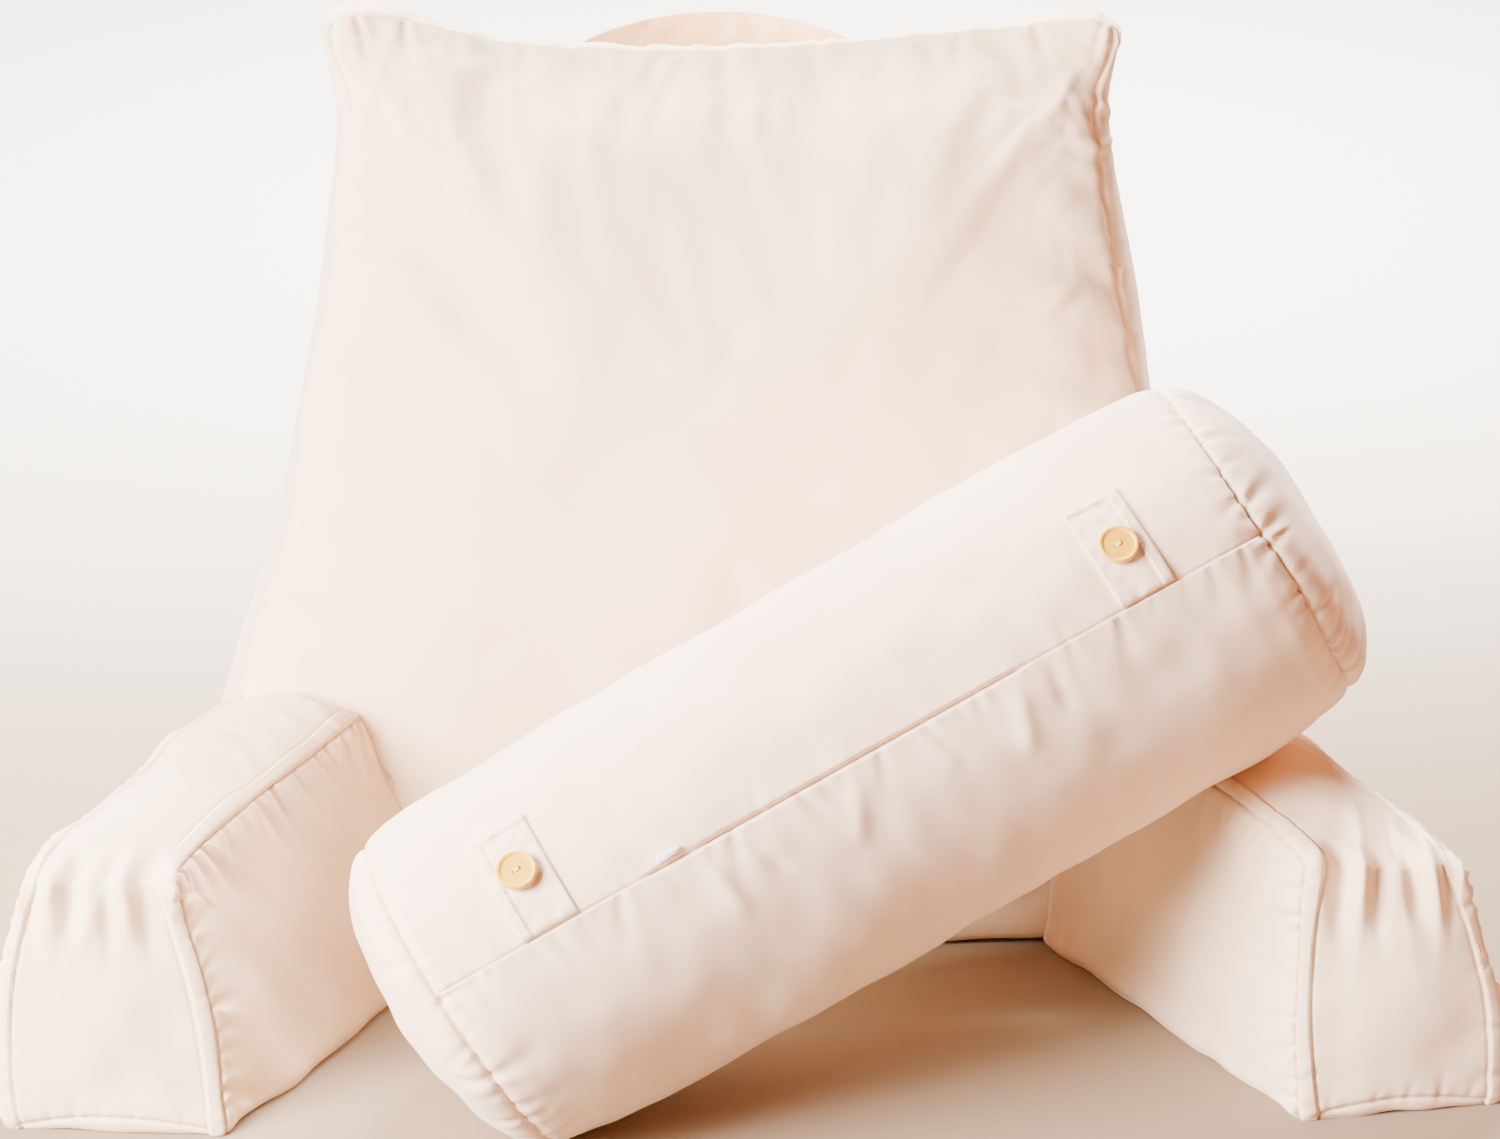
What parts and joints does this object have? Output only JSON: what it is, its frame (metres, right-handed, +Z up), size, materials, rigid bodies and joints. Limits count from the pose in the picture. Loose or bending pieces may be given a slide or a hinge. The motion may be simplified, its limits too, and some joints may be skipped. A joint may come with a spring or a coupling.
{
  "type": "reading pillow with neck bolster",
  "caption": "Bed reading pillow: a tall wedge backrest with arms and a carry handle behind, and its round neck bolster with buttoned tabs, leaning on one arm.",
  "frame": {"origin": "middle of the backrest's flat base, on the surface it stands on", "axes": "+Z up, +X to the right of a viewer in front, +Y to the back; the arms reach towards -Y"},
  "size_m": [0.7792, 0.5513, 0.4977],
  "materials": {
    "cover_cloth": "matt cream plain weave",
    "bolster_cloth": "matt cream plain weave",
    "button_wood": "satin pale wood",
    "zip_plastic": "matt white"
  },
  "bodies": {
    "root": {"backrest": "cover_cloth", "arm_left": "cover_cloth", "arm_right": "cover_cloth", "carry_handle": "cover_cloth", "bolster": "bolster_cloth", "tab_left": "bolster_cloth", "tab_right": "bolster_cloth", "button_left": "button_wood", "button_right": "button_wood", "zip_pull": "zip_plastic"}
  },
  "joints": []
}
